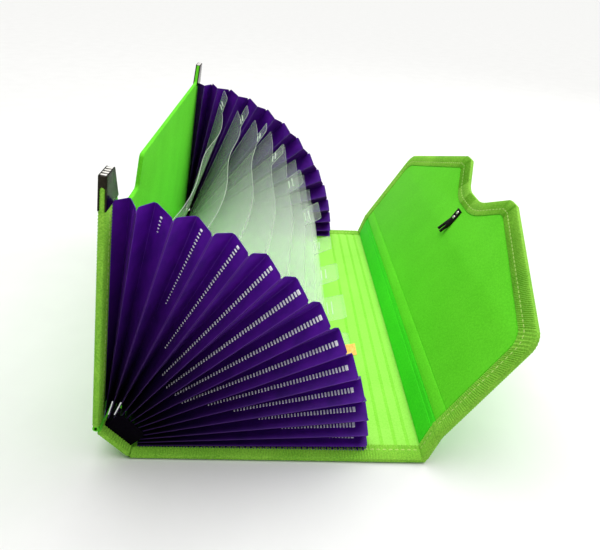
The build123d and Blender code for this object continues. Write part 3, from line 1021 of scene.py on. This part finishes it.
# %% Divider sheets
for level in range(1, pocket_count):
    bm = divider_bmesh(level)
    edge_faces = sum(face.material_index for face in bm.faces)
    matrix = level_panel(level)
    node = f"divider_{level:02d}"
    divider = make_piece(bm, f"divider_sheet_{level:02d}", node, [milky_sheet, milky_edge],
                         [node], matrix)
    folds_flat(divider)
print("dividers:", divider_count, "edge faces on the last:", edge_faces)

# %% [markdown]
# ## Label
# One tab holds a slip of orange card, pushed into its slits, a little bent by the sheet and reaching past
# the tab. A small grid follows the sheet's lift and curls up at both ends, as card does.

# %% Label slip
label_level = 3
label_length, label_width, label_t = 11.0, 10.0, 0.3
label_tuck, label_shift = 2.5, 5.0
label_lift, label_curl, label_keep = 0.35, 0.012, 0.2
label_reach = divider_top + label_tuck + label_length / 2
label_middle = tab_place(label_level) - label_shift
bm = bmesh.new()
add_grid(bm, 6, 8, box_matrix((label_reach, label_middle, 0), (label_length, label_width, 1)))
for v in bm.verts:
    v.co.z = sheet_lift(label_level, v.co.x, v.co.y) + label_lift + label_curl * (v.co.x - label_reach) ** 2
bmesh.ops.solidify(bm, geom=bm.faces[:], thickness=label_t)
label_panel = level_panel(label_level)
label = make_piece(bm, "label_slip", "divider_03", [orange_card], ["index_label"], label_panel)
folds_flat(label)
print(label.name)

# %% [markdown]
# ## Metal corners
# The corners are stamped clips: a plate on each face of the post, folded over its top, with ribs across
# the fold that carry a painted highlight in bright nickel. Down the outer edge the clip is open, and the roll
# of the tape shows between its plates.
# Plates and blocks with rounded edges make the clip, and the tape's own sweep makes the roll.

# %% Corner clips
corner_top = 117.5
plate_in, plate_out, plate_edge = 1.0, 1.6, 0.22
clip_top_width, clip_foot_width = 10.8, 17.9
cap_low, cap_high, cap_edge = corner_top - 0.9, corner_top - 0.3, 0.2
cap_height, edge_inset = (-plate_out, plate_out), (0.1, 0.6)
rib_count, rib_first, rib_step, rib_width, rib_edge = 4, 1.1, 2.5, 1.4, 0.35
rib_reach, rib_height = (corner_top - 0.8, corner_top + 0.1), (-1.3, 1.3)
roll_top, roll_steps, roll_lap, roll_flat = 112.5, 18, 0.5, 0.6
roll_inset, roll_depth = 0.05, 3.0
roll_panel = front_panel @ Matrix.Diagonal((1, 1, roll_flat, 1))
roll_start, roll_length = corner_foot - roll_lap, roll_top - corner_foot + 2 * roll_lap
roll_reaches = [roll_start + roll_length * i / roll_steps for i in range(roll_steps + 1)]
for place, side in (("near", -1), ("far", 1)):
    bm = bmesh.new()
    outline = [(corner_foot, side * half_width), (corner_top, side * half_width),
               (corner_top, side * (half_width - clip_top_width)),
               (corner_foot, side * (half_width - clip_foot_width))]
    for low, high in ((plate_in, plate_out), (-plate_out, -plate_in)):
        add_plate(bm, outline, low, high, plate_edge)
    side_block(bm, side, (cap_low, cap_high), (0, clip_top_width), cap_height, cap_edge)
    side_block(bm, side, (roll_top, cap_high), edge_inset, cap_height, cap_edge)
    clip = make_piece(bm, f"corner_clip_{place}", "front_cover", [dark_bronze],
                      [f"metal_corner_{place}"], front_panel)
    # The ribs are the clip's own metal, painted bright nickel as its highlight.
    bm = bmesh.new()
    for i in range(rib_count):
        inset = rib_first + rib_step * i
        side_block(bm, side, rib_reach, (inset, inset + rib_width), rib_height, rib_edge)
    ribs = make_piece(bm, f"corner_rib_highlights_{place}", "front_cover", [nickel_and_highlight],
                      matrix=front_panel)
    bm = bmesh.new()
    sweep_tape(bm, [(roll_panel, complex(u, side * (half_width - roll_inset)),
                     complex(u, side * (half_width - roll_depth)), 1.0) for u in roll_reaches])
    tape_roll = make_piece(bm, f"corner_tape_{place}", "front_cover", [tape_yarn])
    print(clip.name, ribs.name, tape_roll.name)

# %% [markdown]
# ## Clasp
# The clasp's tongue is a forked spring strip on two bright rivets, and it slides into a keeper on the cover.
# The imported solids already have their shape, so they only get softer edges. The rivets are flattened balls.

# %% Tongue, keeper and rivets
tongue_edge, keeper_edge = 0.22, 0.35
tongue = softened("clasp_tongue", "tongue_strip", "flap", dark_bronze, tongue_edge)
keeper = softened("clasp_keeper", "keeper_loop", "front_cover", dark_bronze, keeper_edge)
rivet_reaches = (65.8, 62.4)
rivet_radius, rivet_flat, tongue_t = 1.15, 0.62, 0.9
bm = bmesh.new()
for reach in rivet_reaches:
    for height in (half_t + tongue_t, -half_t):
        bmesh.ops.create_uvsphere(bm, u_segments=20, v_segments=12, radius=rivet_radius,
                                  matrix=box_matrix((reach, 0, height), (1, 1, rivet_flat)))
rivets = make_piece(bm, "rivet_domes", "flap", [nickel_and_highlight], ["clasp_rivets"], flap_panel)
print(tongue.name, keeper.name, rivets.name)

# %% [markdown]
# ## Stage, light and camera
# A very wide light from overhead, like a bright ceiling, leaves the pleats deep and the base bright. A side
# light reaches the far pockets, and a weak fill the near fan. The backdrop is pale to the camera and dimmer
# to the object. The picture is shown without the film curve that would wash out the lime. Light passes
# through many milky sheets and between them, so more steps than usual are allowed.

# %% Floor
floor_half, floor_drop = 40.0, 0.0003
bm = bmesh.new()
bmesh.ops.create_grid(bm, x_segments=1, y_segments=1, size=floor_half,
                      matrix=Matrix.Translation((0, 0, -floor_drop)))
pale_floor = grained_finish("pale_floor", "#eeeeec", "#f1f1ef", 30.0, 0.01, Roughness=0.9)
floor = finished_object(bm, "floor", [pale_floor])
print(floor.name, 2 * floor_half, "m wide")


# %% Lights
def soft_light(name, place, aim, size, watts):
    """A square area light that looks at a point."""
    lamp = bpy.data.lights.new(name, "AREA")
    lamp.size, lamp.energy = size, watts
    holder = bpy.data.objects.new(name, lamp)
    holder.location = place
    holder.rotation_euler = (Vector(aim) - Vector(place)).to_track_quat("-Z", "Y").to_euler()
    scene.collection.objects.link(holder)


sky = bpy.data.lights.new("sky_light", "SUN")
sky.energy, sky.angle = 3.1, radians(80)
sky_holder = bpy.data.objects.new("sky_light", sky)
sky_holder.rotation_euler = (radians(-14), radians(2), 0)
scene.collection.objects.link(sky_holder)
soft_light("side_light", place=(0.55, 0.25, 0.55), aim=(-0.03, 0.0, 0.06), size=0.5, watts=2.3)
soft_light("front_fill", place=(-0.1, -0.9, 0.35), aim=(0.0, 0.0, 0.05), size=0.6, watts=0.7)
print("lights:", [lamp.name for lamp in bpy.data.lights])

# %% Backdrop and picture settings
room_glow, backdrop_glow = 0.15, 0.95
world = bpy.data.worlds.new("studio")
scene.world = world
world.use_nodes = True
backdrop = world.node_tree.nodes["Background"]
backdrop.inputs["Color"].default_value = grey(1.0)
seen = add(world.node_tree, "ShaderNodeLightPath", {}).outputs["Is Camera Ray"]
glow = mix_numbers(world.node_tree, seen, room_glow, backdrop_glow)
world.node_tree.links.new(glow, backdrop.inputs["Strength"])
scene.view_settings.view_transform = "Standard"
scene.cycles.transparent_max_bounces = 64
scene.cycles.diffuse_bounces = 12
print("backdrop:", world.name)

# %% Camera
camera_place = Vector((-0.005, -0.319, 0.199))
pitch, yaw, roll = radians(28.3), radians(3.0), radians(3.2)
facing = Matrix.Rotation(-yaw, 4, "Z") @ Matrix.Rotation(radians(90) - pitch, 4, "X")
lens = bpy.data.cameras.new("camera")
lens.sensor_width, lens.lens = 36.0, 34.2
lens.clip_start = 0.01
camera = bpy.data.objects.new("camera", lens)
camera.matrix_world = Matrix.Translation(camera_place) @ facing @ Matrix.Rotation(roll, 4, "Z")
scene.collection.objects.link(camera)
bpy.context.scene.camera = camera
print("camera:", lens.lens, "mm lens")
